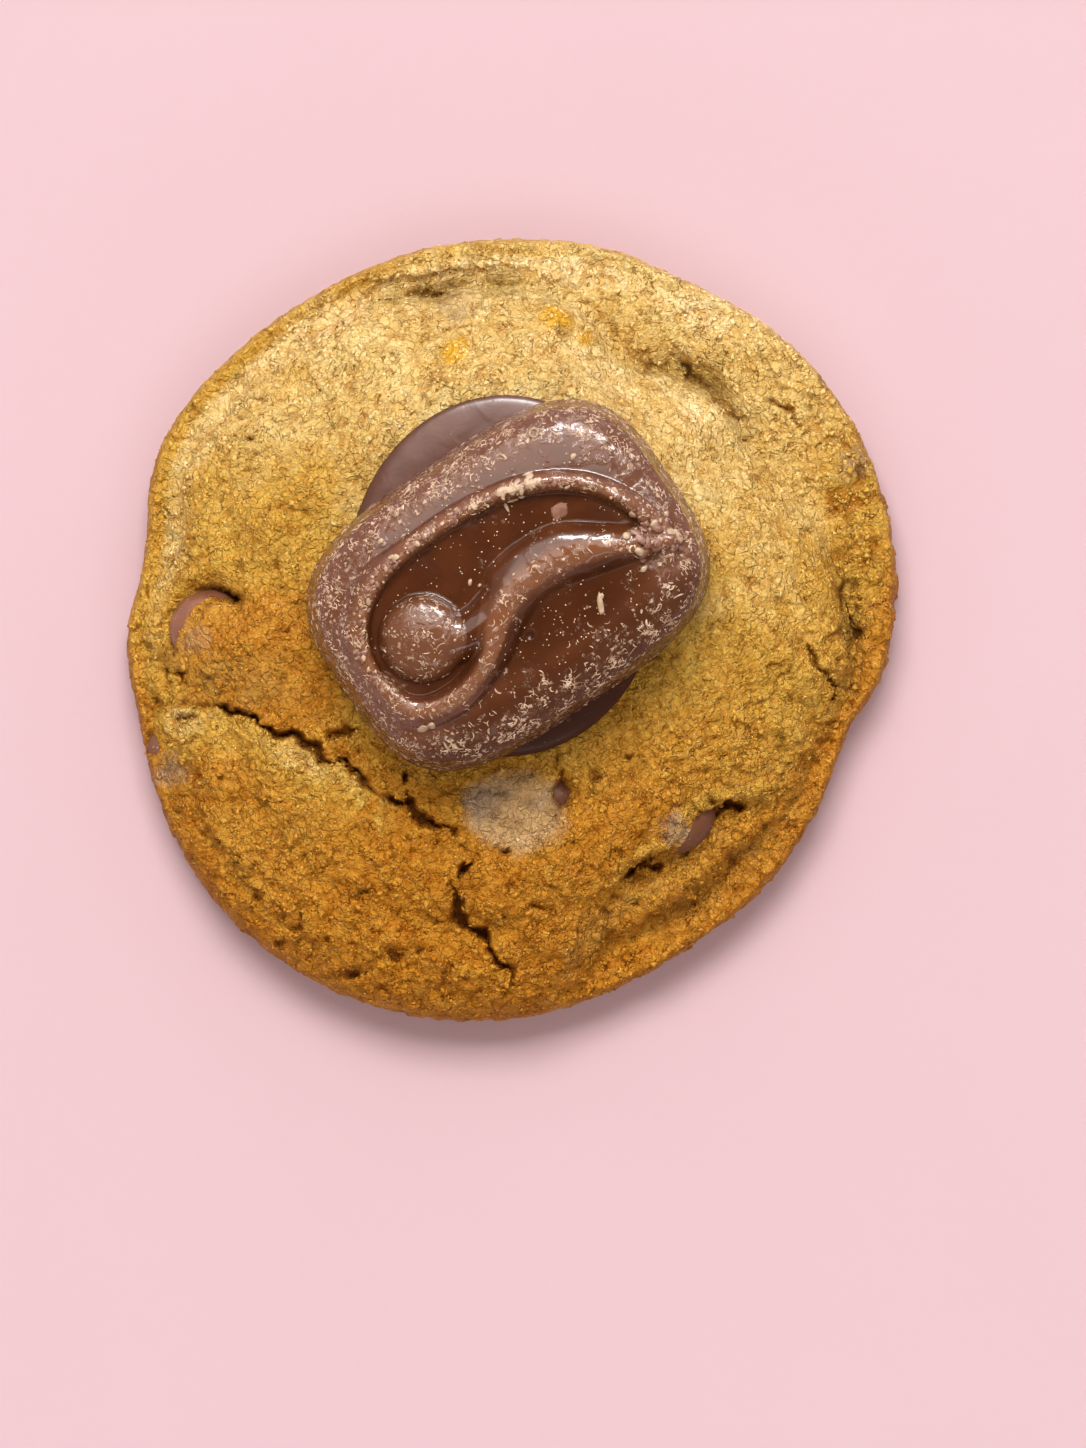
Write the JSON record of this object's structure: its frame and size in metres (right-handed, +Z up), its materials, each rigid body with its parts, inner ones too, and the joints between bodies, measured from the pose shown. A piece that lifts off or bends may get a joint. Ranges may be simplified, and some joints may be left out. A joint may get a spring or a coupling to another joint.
{
  "type": "chocolate chip cookie",
  "caption": "Round chocolate chip cookie with a cracked golden crust, topped by a flat chocolate disc and a moulded praline.",
  "frame": {"origin": "middle of the flat underside, on the surface that the cookie lies on", "axes": "+Z up through the cookie's thickness; +X to the right and +Y to the top as seen from above"},
  "size_m": [0.0769, 0.0783, 0.0339],
  "materials": {
    "crust": "baked crumb, matte with fine sparkle",
    "milk_chocolate": "satin, scuffed and bloomed",
    "smooth_chocolate": "smooth satin",
    "chip_chocolate": "satin, slightly dusty"
  },
  "bodies": {
    "root": {"cookie": "crust", "praline": "milk_chocolate", "chocolate_disc": "smooth_chocolate", "chip_upper_left": "chip_chocolate", "chip_lower_right": "chip_chocolate", "chip_lower_middle": "chip_chocolate", "chip_left_edge": "chip_chocolate"}
  },
  "joints": []
}
